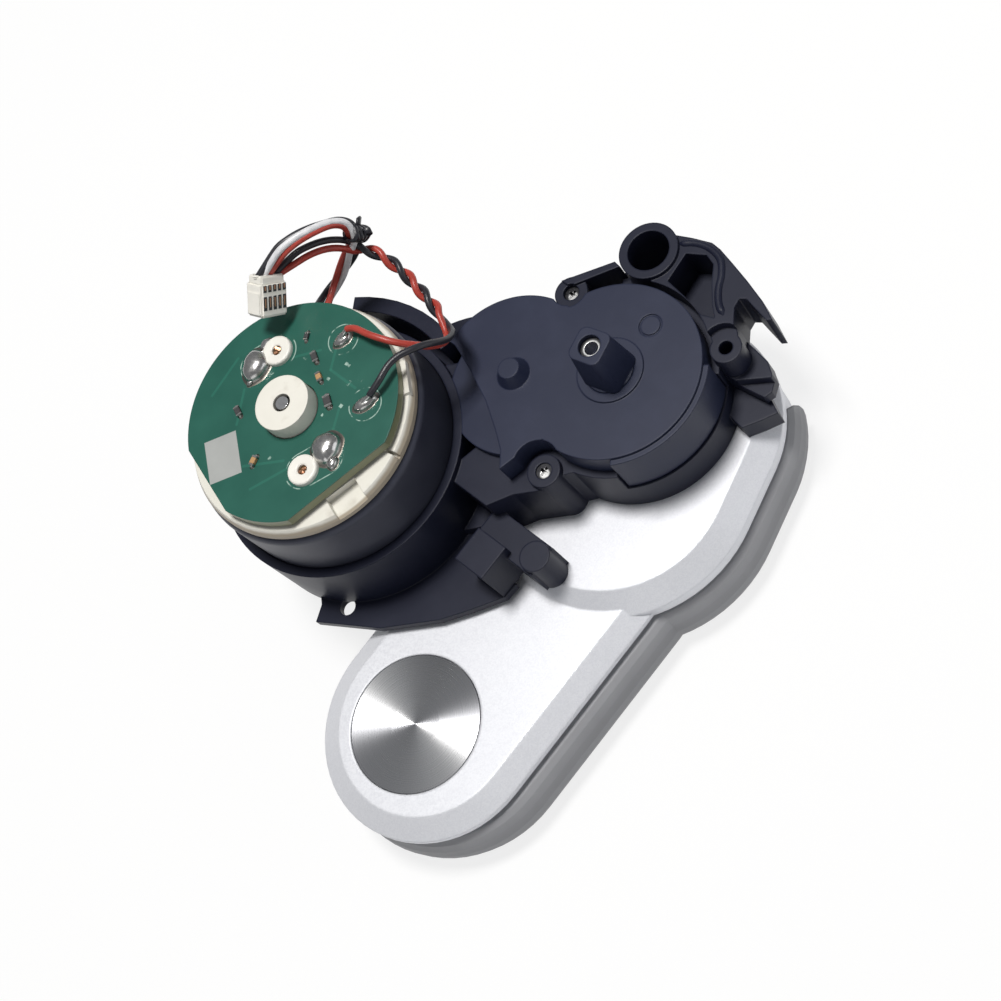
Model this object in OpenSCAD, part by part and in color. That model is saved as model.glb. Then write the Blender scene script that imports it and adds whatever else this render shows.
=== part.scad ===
// Side brush drive of a robot vacuum: a flat motor with a circuit board turns the
// brush shaft through three gear stages, and the unit stands on its silver base.
// The origin lies on the brush shaft's axis at the level the base stands on.

/* [Base] */
// Height of the low lobe of the base
low_lobe_h = 12; // [11:0.5:13]
// Height of the high lobe, which carries the gear housing
high_lobe_h = 14; // [13.5:0.5:16]
// Length from the brush axis to the middle of the round low end
low_end_x = 54.2; // [50:0.5:60]
// Outer radius of the low end
low_end_r = 17.3; // [16:0.1:19]
// Outer radius of the high lobe
high_lobe_r = 20.5; // [19:0.1:22]
// Width of the sloping border round the top faces
border_w = 3.2; // [2:0.1:4.5]
// Wall of the base moulding
base_wall = 1.8; // [1.4:0.1:2.4]
// Height of the soft bumper round the foot of the base
bumper_h = 8.6; // [6:0.2:9]
// Height of the dark groove above the bumper
groove_h = 0.7; // [0.3:0.1:0.8]
// How far the bumper stands out
bumper_out = 2; // [1:0.1:3]
// Radius of the turned metal disc
disc_r = 10.2; // [8:0.1:11.5]
// Thickness of the turned metal disc
disc_t = 1.2; // [0.8:0.1:1.5]

/* [Gear housing] */
// Wall of the housing round the brush shaft's gear
case_wall = 2; // [1.8:0.1:2.4]
// How far the cover's edge lies inside that wall
cover_step = 1.1; // [0.9:0.05:1.3]
// Radius of the cover's small lobe
lobe_r = 9.94; // [9.4:0.02:10.5]
// Headroom between the brush shaft's gear and the top of the housing wall
headroom = 0.6; // [0.5:0.1:1.6]
// Height of the cover above the housing wall
cover_h = 4; // [3.4:0.1:5]
// Plate thickness of the housing and its covers
plate_t = 1.4; // [1.2:0.1:1.8]
// Depth of the gear well below the housing floor
well_depth = 5; // [4.6:0.1:6]
// Inner radius of the tube at the far corner
tube_r = 3.1; // [2.5:0.1:3.4]
// Outer radius of that tube
tube_outer_r = 4.4; // [4.1:0.1:4.8]
// Radius of the holes that take the cover screws
screw_hole_r = 1.2; // [0.9:0.05:1.3]
// Outer radius of the screw bosses
screw_boss_r = 2.5; // [2.2:0.1:2.8]
// Bore radius of the mounting posts under the motor
post_hole_r = 1.3; // [1:0.05:1.6]
// Outer radius of the mounting posts
post_r = 2.6; // [2.4:0.1:3]

/* [Motor] */
// Motor axis along the base, from the brush axis
motor_x = 31.3; // [31.1:0.05:31.5]
// Motor axis across the base, from the brush axis
motor_y = -30.5; // [-30.7:0.05:-30.3]
// Radius of the motor can
can_r = 18.3; // [17.8:0.1:18.3]
// Length of the motor can
can_h = 14.4; // [14:0.2:17]
// Sheet thickness of the can
can_t = 1; // [0.8:0.1:1.2]
// Height of the white end bell above the can
bell_h = 1.9; // [1.6:0.1:3]
// How far the circuit board's edge lies inside the can
board_inset = 1.5; // [1.3:0.1:2.3]
// Thickness of the circuit board
board_t = 1.6; // [1:0.1:1.6]
// Radius of the motor shaft
shaft_r = 1; // [0.9:0.05:1.2]
// Radius of the end bell's hub, which stands through the board
hub_r = 4.2; // [4:0.1:4.6]
// How far the hub stands above the board
hub_rise = 2.7; // [2:0.1:3.5]
// Thickness of the two magnets
magnet_t = 2.2; // [1.6:0.1:2.6]
// Number of rotor poles
pole_n = 5; // [3, 5, 7]

/* [Gears] */
// Module of all the gears
gear_module = 0.6; // [0.59:0.005:0.605]
// Teeth of the motor pinion and of both small gears
pinion_teeth = 10; // [10]
// Teeth of the first wheel
first_teeth = 50; // [49, 50]
// Teeth of the second wheel
second_teeth = 30; // [30]
// Teeth of the wheel on the brush shaft
output_teeth = 39; // [39]
// Face width of the first wheel
gear_w = 3; // [2.4:0.1:3]
// Radius of the gear pins
pin_r = 1; // [0.8:0.05:1.1]

/* [Brush shaft] */
// Width of the square shaft where it leaves the cover
square_foot = 6.3; // [5.8:0.1:6.4]
// Width of the square shaft at its top
square_top = 5; // [4.6:0.1:5.6]
// Height of the square shaft above the cover
square_h = 8; // [6:0.2:10]
// Thread radius of the metal insert in the shaft
insert_bore_r = 1; // [0.8:0.05:1.1]

/* [Hidden] */
$fn = 72;

// Clearances: a seat that is glued or pressed, a running bearing and a loose fit
seat_gap = 0.02;
run_gap = 0.05;
loose_gap = 0.4;
eps = 0.01;

// Levels, from the ground up
floor_z = high_lobe_h + plate_t;
well_z = high_lobe_h - well_depth;
well_floor_z = well_z + plate_t;
can_z = 21;
sleeve_floor_z = can_z - plate_t;
can_top_z = can_z + can_h;
board_r = can_r - board_inset;
bell_top_z = can_top_z + bell_h;
board_z = bell_top_z + 0.6;
board_top_z = board_z + board_t;
hub_top_z = board_top_z + hub_rise;
first_wheel_z = well_floor_z + 0.5;
first_pinion_z = first_wheel_z + gear_w;
idler_wheel_z = floor_z + 0.3;
idler_wheel_w = 2.8;
idler_pinion_z = idler_wheel_z + idler_wheel_w;
output_wheel_z = idler_pinion_z + 0.5;
output_wheel_w = 4.4;
split_z = output_wheel_z + output_wheel_w + headroom;
case_h = split_z - high_lobe_h;
cover_z = split_z + cover_h;

// Places of the axes: the idler lies under the cover's small boss, and the first
// gear where its two mesh distances meet
function pitch_r(teeth) = gear_module * teeth / 2;
motor_at = [motor_x, motor_y];
motor_mesh = pitch_r(pinion_teeth) + pitch_r(first_teeth);
idler_mesh = pitch_r(pinion_teeth) + pitch_r(second_teeth);
output_mesh = pitch_r(pinion_teeth) + pitch_r(output_teeth);
idler_turn = -57.3;
idler_at = output_mesh * [cos(idler_turn), sin(idler_turn)];
idler_to_motor = norm(motor_at - idler_at);
idler_heading = heading(motor_at - idler_at);
first_bend = acos((idler_to_motor * idler_to_motor + idler_mesh * idler_mesh
    - motor_mesh * motor_mesh) / (2 * idler_to_motor * idler_mesh));
first_turn = idler_heading - first_bend;
first_at = idler_at + idler_mesh * [cos(first_turn), sin(first_turn)];
function heading(v) = atan2(v[1], v[0]);
function polar(r, a) = r * [cos(a), sin(a)];

// Gear teeth: pressure angle, shortened addendum, root depth and play at the flanks
pressure_angle = 25;
addendum = 0.85 * gear_module;
dedendum = 1.2 * gear_module;
flank_play = 0.12;
function involute_spread(r, base_r) = sqrt(max(0, r * r / (base_r * base_r) - 1)) * 180 / PI
    - acos(min(1, base_r / r));
function half_tooth(teeth, r) = 90 / teeth - flank_play / 2 / pitch_r(teeth) * 90 / PI
    + involute_spread(pitch_r(teeth), pitch_r(teeth) * cos(pressure_angle))
    - involute_spread(r, pitch_r(teeth) * cos(pressure_angle));
function tooth_radii(teeth) = let (base_r = pitch_r(teeth) * cos(pressure_angle),
    root_r = pitch_r(teeth) - dedendum, tip_r = pitch_r(teeth) + addendum,
    foot_r = max(base_r, root_r))
    [root_r, foot_r, foot_r + (tip_r - foot_r) * 0.35, foot_r + (tip_r - foot_r) * 0.7, tip_r];
module gear_outline(teeth, turn) {
    radii = tooth_radii(teeth);
    polygon([for (i = [0:teeth - 1], side = [-1, 1], k = [0:len(radii) - 1])
        let (r = radii[side < 0 ? k : len(radii) - 1 - k], middle = turn + i * 360 / teeth)
        polar(r, middle + side * half_tooth(teeth, max(r, radii[1])))]);
}
// Turns at which each pair of gears meets tooth to gap
motor_to_first = heading(first_at - motor_at);
first_to_idler = heading(idler_at - first_at);
idler_to_output = heading(-idler_at);
function gap_turn(arrival, teeth) = arrival + 180 + 180 / teeth;

// Plain shapes that several parts use
module disc_at(at, r, z, h) { translate([at[0], at[1], z]) cylinder(r = r, h = h); }
module ring_at(at, outer, inner, z, h) {
    translate([at[0], at[1], z]) difference() {
        cylinder(r = outer, h = h);
        translate([0, 0, -1]) cylinder(r = inner, h = h + 2);
    }
}
module sector(r, from, to) {
    steps = 8;
    polygon(concat([[0, 0]], [for (i = [0:steps]) polar(r, from + (to - from) * i / steps)]));
}
module pan_screw(at, z, head_r, head_h, stem_r, stem_l) {
    difference() {
        union() {
            disc_at(at, head_r, z, head_h);
            disc_at(at, stem_r, z - stem_l, stem_l + eps);
        }
        for (a = [0, 90]) translate([at[0], at[1], z + head_h * 0.45]) rotate(a)
            translate([-head_r * 0.55, -0.2, 0]) cube([head_r * 1.1, 0.4, head_h]);
    }
}

// Base: two lobes with straight flanks, the low one reaching out to the disc
low_end_at = [low_end_x, 1.6];
high_lobe_at = [10.3, 2.5];
high_far_at = [0.5, 2.8];
high_far_r = high_lobe_r - 2.7;
seam_x = 24;
well_r = pitch_r(first_teeth) + addendum + 0.5;
well_wall_r = well_r + plate_t;
well_end_r = 6;
well_roof_z = first_pinion_z + 0.4 + plate_t;
disc_at_xy = [55.6, 0.6];
module low_lobe(inset = 0) {
    hull() {
        translate(low_end_at) circle(r = low_end_r - inset, $fn = 64);
        translate([seam_x, low_end_at[1]]) circle(r = low_end_r - inset, $fn = 64);
    }
}
module high_lobe(inset = 0) {
    hull() {
        translate(high_lobe_at) circle(r = high_lobe_r - inset, $fn = 72);
        translate(high_far_at) circle(r = high_far_r - inset, $fn = 72);
    }
}
module well_outline(r_first, r_motor) {
    hull() {
        translate(first_at) circle(r = r_first);
        translate(motor_at) circle(r = r_motor);
    }
}
module lobe_block(low, inset, z) {
    linear_extrude(z) {
        if (low) low_lobe(inset);
        else high_lobe(inset);
    }
}
foot_in = 0.6;
module bordered_lobe(low, top, drop) {
    hull() {
        lobe_block(low, 0, top - drop);
        lobe_block(low, border_w, top);
    }
}
module base_shell() {
    color("gainsboro") difference() {
        union() {
            bordered_lobe(true, low_lobe_h, 1.9);
            bordered_lobe(false, high_lobe_h, 2.8);
        }
        translate([0, 0, -1]) linear_extrude(bumper_h + groove_h + 1) difference() {
            square(400, center = true);
            low_lobe(foot_in);
            high_lobe(foot_in);
        }
        translate([0, 0, -1]) linear_extrude(low_lobe_h - base_wall + 1)
            low_lobe(border_w + base_wall);
        translate([0, 0, -1]) linear_extrude(high_lobe_h - base_wall + 1)
            high_lobe(border_w + base_wall);
        disc_at(disc_at_xy, disc_r + 0.15, low_lobe_h - disc_t, disc_t + 1);
        translate([0, 0, -1]) linear_extrude(high_lobe_h + 2)
            well_outline(well_wall_r + loose_gap, well_end_r + loose_gap);
        for (at = base_screw_at) disc_at(at, 1.3, high_lobe_h - base_wall - 1, base_wall + 2);
    }
    color("gainsboro") disc_at([0, 0], pillar_r, 0, high_lobe_h - base_wall + eps);
}
// The pillar stands inside the base, under the brush shaft
pillar_r = 3;
// The base's screws keep their distance from the edge of the high lobe
base_screw_at = [high_far_at + polar(high_far_r - 9.5, 141), high_lobe_at + polar(high_lobe_r - 11.8, 120)];
module base_bumper() {
    color("darkgray") difference() {
        union() {
            for (low = [true, false]) hull() for (k = [0:3]) {
                a = k * 25;
                translate([0, 0, bumper_h / 2 * (1 - sin(a))])
                    linear_extrude(bumper_h * sin(a) + eps)
                        if (low) translate([-1.2, 0.6]) low_lobe(foot_in - bumper_out * cos(a));
                        else high_lobe(foot_in - bumper_out * cos(a));
            }
        }
        translate([0, 0, -1]) linear_extrude(bumper_h + 3) {
            low_lobe(foot_in - seat_gap);
            high_lobe(foot_in - seat_gap);
        }
        translate([0, 0, -1]) linear_extrude(bumper_h + 3)
            well_outline(well_wall_r + loose_gap, well_end_r + loose_gap);
        translate([-40, -40, -1]) cube([36, 55, bumper_h + 3]);
    }
}
module spun_disc() {
    color("silver") difference() {
        disc_at(disc_at_xy, disc_r, low_lobe_h - disc_t, disc_t);
        translate([disc_at_xy[0], disc_at_xy[1], low_lobe_h + 60]) sphere(r = 60.12, $fn = 96);
    }
}

// Places on the housing
boss_a_at = [-6.4, -13.9];
boss_b_at = [16.4, -0.4];
boss_c_at = [-11.6, 11.1];
boss_c_r = 2.3;
tube_at = [-17.1, -7.3];
sleeve_r = can_r + 1.5;
post_ring = 16.7;
post_turns = [-42, -128];
motor_screw_ring = 8.6;
motor_screw_turns = [motor_to_first - 125, motor_to_first + 125];
module on_motor(r, a) { translate([motor_x, motor_y]) rotate(a) translate([r, 0]) children(); }

module hook_outline() {
    polygon([[-20.8, -6.6], [-22, -3.1], [-22.8, -0.1], [-22.6, 1.6], [-21.8, 4.5], [-20.7, 8.2],
        [-19.4, 12], [-17.9, 15], [-17.4, 14.3], [-18.1, 11.4], [-18.5, 9.8], [-18, 8.9],
        [-16.7, 9.1], [-14.9, 10.4], [-13.6, 11.8], [-10, 10.5], [-10, 3], [-13, -4]]);
}
module pocket_outline() {
    polygon([[-19.6, -2.4], [-20.9, 0.4], [-20.3, 2.2], [-17.7, 4], [-15.2, 6.2], [-14, 7.6],
        [-13.4, 5.6], [-14.4, 1.6], [-15, -2]]);
}
pinion_room_r = pitch_r(pinion_teeth) + addendum + 0.5;
// Room round the gears, narrow enough to leave the motor sleeve and boss A whole
room_gap = 0.2;
idler_room_r = pitch_r(second_teeth) + addendum + room_gap;
idler_wall_r = idler_room_r + 1.5;
output_room_r = pitch_r(output_teeth) + addendum + room_gap;
case_r = output_room_r + case_wall;
cover_r = case_r - cover_step;
module wall_outline() {
    circle(r = case_r);
    translate(idler_at) circle(r = idler_wall_r);
    hull() {
        translate(idler_at) circle(r = pinion_room_r + plate_t);
        translate(first_at) circle(r = pinion_room_r + plate_t);
    }
    translate(boss_a_at) circle(r = screw_boss_r);
    translate(boss_b_at) circle(r = screw_boss_r);
    polygon([[-10, -9], [-15, -11.4], [-20, -10], [-13, -3], [-5, -5]]);
    polygon([[12, 5], [15.2, 1.9], [18.6, 0.8], [21.5, -2.6], [25, -5], [25, -14], [10, -10]]);
}
module gear_housing() {
    color("darkslategray") difference() {
        union() {
            translate([0, 0, high_lobe_h]) linear_extrude(case_h) wall_outline();
            translate([0, 0, well_floor_z]) linear_extrude(well_roof_z - well_floor_z)
                well_outline(well_wall_r, well_end_r);
            for (at = well_screw_at) disc_at(at, 2.4, well_floor_z, 5);
            disc_at(motor_at, sleeve_r, flange_z + plate_t - eps, sleeve_top_z - flange_z - plate_t);
            translate([0, 0, flange_z]) linear_extrude(plate_t) difference() {
                union() {
                    polygon([[53.5, -22.4], [48.2, -12.8], [41.8, -5.6], [38, -2.6], [33.4, 0.7],
                        [28, 1], [24, -4], [30, -20], [44, -44], [49.5, -40.1], [50.6, -32.3],
                        [48.6, -26.3], [51, -23.5]]);
                    translate(motor_at) circle(r = sleeve_r);
                }
                translate([48.8, -19.6]) circle(r = 1.3);
                high_lobe(-0.3);
            }
            disc_at(boss_a_at, screw_boss_r, split_z - 1, 4);
            disc_at(boss_b_at, screw_boss_r, split_z - 1, 2);
            disc_at(boss_c_at, boss_c_r, high_lobe_h, cover_z - 2 - high_lobe_h);
            disc_at(tube_at, tube_outer_r, high_lobe_h + 2, cover_z - high_lobe_h - 2);
            translate([0, 0, high_lobe_h + 6]) linear_extrude(cover_z - high_lobe_h - 6.6)
                difference() {
                    hook_outline();
                    pocket_outline();
                    circle(r = case_r - 0.1);
                }
            translate([0, 0, split_z - 1]) linear_extrude(4.4)
                polygon([[-7, -16.2], [-13.4, -11], [-13.2, -9.8], [-7, -14.5]]);
            for (a = post_turns) on_motor(post_ring, a) cylinder(r = post_r, h = can_z - 0.5);
            translate([26.5, 4.5, high_lobe_h]) cylinder(r = 2.3, h = 7);
            translate([24, -6, high_lobe_h]) cube([5, 11.5, 6]);
            translate([28, -5, high_lobe_h]) cube([5.5, 5.6, 8]);
            cable_guard();
            low_tabs();
        }
        sleeve_inside();
        gear_chambers();
        for (at = base_screw_at) disc_at(at, 1.1 + seat_gap, high_lobe_h - 1, plate_t + 0.6);
        for (at = well_screw_at) disc_at(at, 1.1 + seat_gap, well_floor_z - 1, 4.4);
        disc_at(boss_a_at, screw_hole_r, split_z - 7, 12);
        disc_at(boss_b_at, screw_hole_r, split_z - 7, 12);
        disc_at(boss_c_at, boss_c_r + 0.7, cover_z - 2, 6);
        disc_at(boss_c_at, 1, split_z - 6, 12);
        disc_at(tube_at, tube_r, high_lobe_h + 4, 30);
        for (a = post_turns) on_motor(post_ring, a) translate([0, 0, -1])
            cylinder(r = post_hole_r, h = 13);
        translate([0, 0, cover_tab_z - 0.15]) linear_extrude(30) difference() {
            sector(40, 39, 126);
            circle(r = case_r - 1.6);
        }
    }
}
cover_tab_z = cover_z - 8;
flange_z = 12.7;
skirt_pockets = [[-168, -141], [-116, -54], [-30, 30]];
sleeve_top_z = 25;
module low_tabs() {
    translate([0, 0, high_lobe_h + 4]) linear_extrude(3.4)
        polygon([[-12, 6], [-15, 9.5], [-14, 15], [-12.8, 16.8], [-11, 17.6], [-9.8, 17.2], [-9, 9]]);
    translate([0, 0, high_lobe_h]) linear_extrude(3.4)
        polygon([[-14, 5], [-12, 14], [-9.5, 19], [-7.2, 17.6], [-5, 16], [-6, 10]]);
}
module cable_guard() {
    translate([0, 0, split_z - 6]) linear_extrude(10) difference() {
        translate(motor_at) sector(sleeve_r + 3.6, 165, 214);
        translate(motor_at) circle(r = sleeve_r + 1.2);
    }
    translate([0, 0, split_z - 6]) linear_extrude(2) difference() {
        translate(motor_at) sector(sleeve_r + 3, 165, 214);
        translate(motor_at) circle(r = sleeve_r - 1);
    }
}
module sleeve_inside() {
    disc_at(motor_at, can_r + 0.1, can_z, 20);
    // Pockets that core out the skirt from below, with ribs left at the posts
    for (pocket = skirt_pockets) translate([0, 0, 10]) linear_extrude(sleeve_floor_z - 10)
        translate(motor_at) difference() {
            intersection() {
                circle(r = sleeve_r - plate_t);
                sector(60, pocket[0], pocket[1]);
            }
            circle(r = 11.6);
        }
    for (a = motor_screw_turns) on_motor(motor_screw_ring, a) translate([0, 0, 10])
        cylinder(r = 2.5, h = sleeve_floor_z - 10);
    disc_at(motor_at, 4.1, sleeve_floor_z - 1, 10);
    for (a = motor_screw_turns) on_motor(motor_screw_ring, a)
        translate([0, 0, sleeve_floor_z - 1]) cylinder(r = 1.2, h = 10);
}
module gear_chambers() {
    translate([0, 0, well_floor_z - 1]) linear_extrude(first_pinion_z + 0.4 - well_floor_z + 1)
        well_outline(well_r, well_end_r - plate_t);
    translate([0, 0, first_pinion_z]) linear_extrude(sleeve_floor_z - first_pinion_z)
        hull() {
            translate(first_at) circle(r = pinion_room_r);
            translate(idler_at) circle(r = pinion_room_r);
        }
    disc_at(motor_at, 3, first_wheel_z, 12);
    difference() {
        union() {
            disc_at(idler_at, idler_room_r, floor_z, 20);
            disc_at([0, 0], output_room_r, floor_z, 20);
        }
        disc_at([0, 0], 4, floor_z - 1, 3);
    }
    disc_at([0, 0], 2.5 + run_gap, high_lobe_h + 0.6, 10);
    disc_at(idler_at, pin_r + seat_gap, high_lobe_h + 0.3, 10);
    disc_at(first_at, pin_r + seat_gap, sleeve_floor_z - 1, plate_t);
}

// Cover: a cap on the housing wall with a boss over each axle and a tab down the side
module cover_outline(inset = 0) {
    difference() {
        union() {
            circle(r = cover_r - inset);
            translate(idler_at) circle(r = lobe_r - inset);
            polygon([[9.3 - inset, -23.5 + inset], [11 - inset, -18.7], [13.3 - inset, -13.4],
                [15.9 - inset, -9], [17.8 - inset, -6.2], [20 - inset * 2, -4.4 - inset / 2],
                [14 - inset, -2.5 - inset], [8, 2], [-4, -8]]);
        }
        translate(boss_a_at) circle(r = screw_boss_r + 0.3 + inset);
        translate(boss_b_at) circle(r = screw_boss_r + 0.9 + inset);
        polygon([[9.3 - inset, -23.5], [11 - inset, -18.7], [13.3 - inset, -13.4],
            [15.9 - inset, -9], [17.8 - inset, -6.2], [30, -6], [30, -30], [9.3, -30]]);
    }
}
module cover_tab(inner_r, low_z) {
    translate([0, 0, low_z]) linear_extrude(cover_z - 0.4 - low_z) difference() {
        intersection() { sector(30, 40, 125); circle(r = case_r - 0.3); }
        circle(r = inner_r);
    }
}
module gear_cover() {
    color("darkslategray") difference() {
        union() {
            translate([0, 0, split_z]) linear_extrude(cover_h) cover_outline();
            translate([0, 0, split_z]) linear_extrude(ledge_t) difference() {
                translate(idler_at) circle(r = idler_wall_r);
                translate(motor_at) circle(r = sleeve_r + seat_gap);
                translate(boss_a_at) circle(r = screw_boss_r + 0.3);
            }
            cover_tab(case_r - 1.5, cover_tab_z);
            cover_tab(cover_r - plate_t, split_z);
            disc_at([0, 0], 4.9, cover_z, 0.25);
            translate([idler_at[0], idler_at[1], cover_z - eps]) cylinder(r1 = 2.5, r2 = 1.6, h = 2);
        }
        difference() {
            translate([0, 0, split_z - 1]) linear_extrude(cover_h - plate_t + 1)
                cover_outline(plate_t);
            disc_at([0, 0], 5, split_z, 10);
            disc_at(idler_at, 2.6, split_z, 10);
        }
        disc_at([0, 0], journal_r + run_gap, split_z - 1, 10);
        disc_at(idler_at, pin_r + seat_gap, split_z - 1, cover_h + 2.3);
        ring_at([-8.3, 0.6], 1.7, 1.45, cover_z - 0.15, 1);
    }
}
journal_r = 3.5;
ledge_t = 1.2;
module well_cover() {
    color("darkslategray") difference() {
        union() {
            translate([0, 0, well_z]) linear_extrude(plate_t - seat_gap)
                well_outline(well_wall_r, well_end_r);
            for (at = well_screw_at) disc_at(at, 2.4, well_z, plate_t - seat_gap);
        }
        for (at = well_screw_at) disc_at(at, 1.3, well_z - 1, 4);
        disc_at(first_at, pin_r + seat_gap, well_z + 0.5, 3);
    }
}
well_screw_at = [first_at + polar(well_r + 1.9, 200), first_at + polar(well_r + 1.9, 275),
    motor_at + polar(well_end_r + 1.4, motor_to_first + 180)];
module cover_screws() {
    color("silver") {
        pan_screw(boss_a_at, split_z + 1, screw_hole_r - seat_gap, 1.4, 0.8, 6);
        pan_screw(boss_b_at, split_z - 0.6, screw_hole_r - seat_gap, 1.4, 0.8, 5);
    }
}
module well_screws() {
    color("silver") for (at = well_screw_at) translate([0, 0, well_z]) mirror([0, 0, 1])
        pan_screw(at, 0, 2.1, 1.1, 1.1, 3);
}
module base_screws() {
    color("silver") for (at = base_screw_at) translate([0, 0, high_lobe_h - base_wall])
        mirror([0, 0, 1]) pan_screw(at, 0, 2.4, 1.4, 1.1, 2.6);
}

// Gears and pins
module brush_shaft_gear() {
    color("dimgray") difference() {
        union() {
            translate([0, 0, output_wheel_z]) linear_extrude(output_wheel_w)
                gear_outline(output_teeth, gap_turn(idler_to_output, output_teeth));
            disc_at([0, 0], 2.5, high_lobe_h + 0.9, 20);
            disc_at([0, 0], 3.9, floor_z + 2.1, split_z - 0.3 - floor_z - 2.1);
            disc_at([0, 0], journal_r, output_wheel_z, cover_z - output_wheel_z + 0.4);
            translate([0, 0, cover_z + 0.3]) hull() {
                linear_extrude(0.1) rounded_square(square_foot, 1.3);
                translate([0, 0, square_h - 0.4]) linear_extrude(0.1) rounded_square(square_top, 1.2);
            }
        }
        disc_at([0, 0], 1.6 + seat_gap, cover_z + square_h - 6, 8);
        ring_at([0, 0], 10, 5.4, output_wheel_z + output_wheel_w - 1, 2);
    }
}
module rounded_square(w, r) {
    rotate(12) hull() for (x = [-1, 1], y = [-1, 1])
        translate([x * (w / 2 - r), y * (w / 2 - r)]) circle(r = r, $fn = 32);
}
module shaft_insert() {
    color("goldenrod") ring_at([0, 0], 1.6, insert_bore_r, cover_z + square_h - 5.6, 4.8);
}
module idler_gear() {
    color("ivory") translate([idler_at[0], idler_at[1], 0]) difference() {
        union() {
            translate([0, 0, idler_wheel_z]) linear_extrude(idler_wheel_w)
                gear_outline(second_teeth, gap_turn(first_to_idler, second_teeth));
            translate([0, 0, idler_pinion_z - eps])
                linear_extrude(output_wheel_w + 0.9) gear_outline(pinion_teeth, idler_to_output);
        }
        translate([0, 0, 1]) cylinder(r = pin_r + run_gap, h = 40);
        ring_at([0, 0], 7.4, 4.2, idler_wheel_z - 1, 1.8);
    }
}
module idler_pin() {
    color("silver") disc_at(idler_at, pin_r, high_lobe_h + 0.4, cover_z + 1.2 - high_lobe_h - 0.4);
}
module first_gear() {
    color("ivory") translate([first_at[0], first_at[1], 0]) difference() {
        union() {
            translate([0, 0, first_wheel_z]) linear_extrude(gear_w)
                gear_outline(first_teeth, gap_turn(motor_to_first, first_teeth));
            translate([0, 0, first_pinion_z - eps]) linear_extrude(sleeve_floor_z - 0.4 - first_pinion_z)
                gear_outline(pinion_teeth, first_to_idler);
        }
        translate([0, 0, 1]) cylinder(r = pin_r + run_gap, h = 40);
        for (z = [first_wheel_z - 1, first_pinion_z - 0.8])
            ring_at([0, 0], 13, 4.4, z, 1.8);
    }
}
module first_pin() {
    color("silver") disc_at(first_at, pin_r, well_z + 0.6, sleeve_floor_z + 0.3 - well_z - 0.6);
}

// Motor
module motor_can() {
    color("dimgray") difference() {
        translate([motor_x, motor_y, 0]) rotate_extrude($fn = 128) polygon(concat(
            [[0, can_z], [can_r - 1, can_z], [can_r, can_z + 1]],
            [for (a = [0:15:90]) [can_r - 1.4 + 1.4 * cos(a), can_top_z - 1.4 + 1.4 * sin(a)]],
            [[can_r - can_t - 1, can_top_z], [can_r - can_t - 1, can_top_z - 0.5],
            [can_r - can_t, can_top_z - 1.4], [can_r - can_t, can_z + can_t], [0, can_z + can_t]]));
        disc_at(motor_at, 3 + seat_gap, can_z - 2, 5);
        for (a = motor_screw_turns) on_motor(motor_screw_ring, a)
            translate([0, 0, can_z - 1]) cylinder(r = 1.1, h = 4);
    }
}
module end_bell() {
    color("ivory") translate([motor_x, motor_y, 0]) difference() {
        union() {
            translate([0, 0, can_top_z]) rotate_extrude($fn = 128) polygon([[0, 0], [bell_r, 0],
                [bell_r, bell_h * 0.45], [bell_r - 0.5, bell_h], [0, bell_h]]);
            translate([0, 0, can_top_z - 1.4]) cylinder(r = can_r - can_t - 1.1, h = 2);
            translate([0, 0, can_top_z]) cylinder(r = hub_r, h = hub_top_z - can_top_z);
            for (a = board_pillars) rotate(a) translate([board_r - 3.4, 0, bell_top_z - eps])
                cylinder(r = 1.3, h = board_z - bell_top_z + eps);
            rotate(141) translate([board_r - 1.2, -2.6, can_top_z]) cube([1.9, 5.2, bell_h + 0.5]);
        }
        translate([0, 0, 10]) cylinder(r = shaft_r + 0.35, h = 60);
        translate([0, 0, hub_top_z - 3.6]) cylinder(r = 3 + seat_gap, h = 2.6);
        translate([0, 0, can_top_z - 2]) cylinder(r = 4, h = 2.6);
        for (a = brush_turns) rotate(a) translate([2, -2.6, can_top_z - 2]) cube([8.6, 5.2, 3.2]);
        for (cut = bell_cuts) rotate(cut[0]) translate([cut[2], -cut[1] / 2, can_top_z + cut[3]])
            cube([9, cut[1], 10]);
    }
}
bell_r = can_r - 0.5;
brush_turns = [56, 236];
board_pillars = [20, 140, 262];
// Each cut in the bell's rim: its turn, its width, where it starts and the height it leaves
bell_cuts = [[72, 5, board_r - 2.6, 0.7], [103, 0.5, board_r - 1, 0.5], [212, 5.4, board_r - 3, 0.3]];
module magnets() {
    outer = can_r - can_t - seat_gap;
    color("slategray") translate([motor_x, motor_y, can_z + 2]) for (a = [0, 180]) rotate(a)
        linear_extrude(can_h - 3.8) difference() {
            intersection() { circle(r = outer); sector(60, 20, 160); }
            circle(r = outer - magnet_t);
        }
}
core_r = can_r - can_t - magnet_t - 0.45;
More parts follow.
